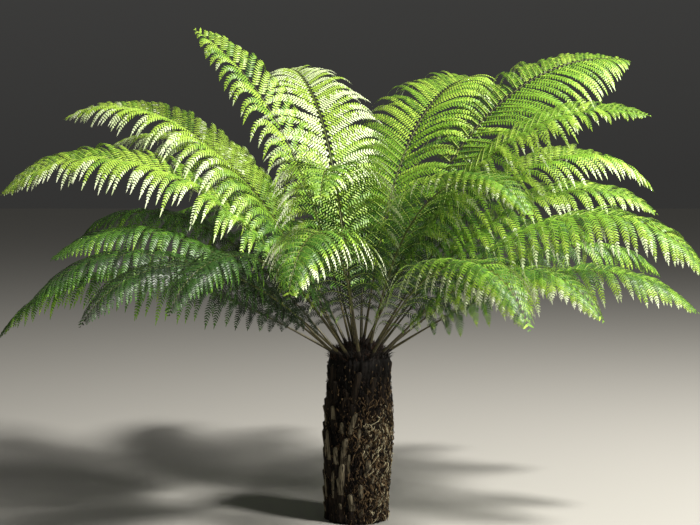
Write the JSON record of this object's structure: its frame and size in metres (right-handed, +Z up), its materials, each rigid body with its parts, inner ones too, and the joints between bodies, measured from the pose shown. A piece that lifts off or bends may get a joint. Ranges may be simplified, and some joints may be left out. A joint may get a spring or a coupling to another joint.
{
  "type": "tree fern",
  "caption": "Garden tree fern: a short fibrous trunk rooted in level ground under a wide crown of arching, finely cut fronds.",
  "frame": {"origin": "middle of the flat cut at the foot of the trunk, at ground level", "axes": "+Z up the trunk, +X to the right of the picture's view, +Y away from it"},
  "size_m": [3.2235, 2.7952, 2.2982],
  "materials": {
    "trunk_fibre": "rough dark root fibre with the stubs of old fronds",
    "young_frond": "fresh yellow-green leaf, satin",
    "grown_frond": "mid green leaf, satin",
    "old_frond": "deep green leaf, satin"
  },
  "bodies": {
    "root": {"trunk": "trunk_fibre", "frond_inner_1": "young_frond", "frond_inner_2": "young_frond", "frond_inner_3": "young_frond", "frond_inner_4": "young_frond", "frond_inner_5": "young_frond", "frond_middle_1": "grown_frond", "frond_middle_2": "grown_frond", "frond_middle_3": "grown_frond", "frond_middle_4": "grown_frond", "frond_middle_5": "grown_frond", "frond_middle_6": "grown_frond", "frond_middle_7": "grown_frond", "frond_middle_8": "grown_frond", "frond_outer_1": "old_frond", "frond_outer_2": "old_frond", "frond_outer_3": "old_frond", "frond_outer_4": "old_frond", "frond_outer_5": "old_frond", "frond_outer_6": "old_frond", "frond_outer_7": "old_frond", "frond_outer_8": "old_frond", "frond_outer_9": "old_frond", "frond_outer_10": "old_frond", "frond_outer_11": "old_frond", "frond_outer_12": "old_frond", "frond_outer_13": "old_frond", "frond_outer_14": "old_frond", "frond_outer_15": "old_frond", "frond_outer_16": "old_frond"}
  },
  "joints": []
}
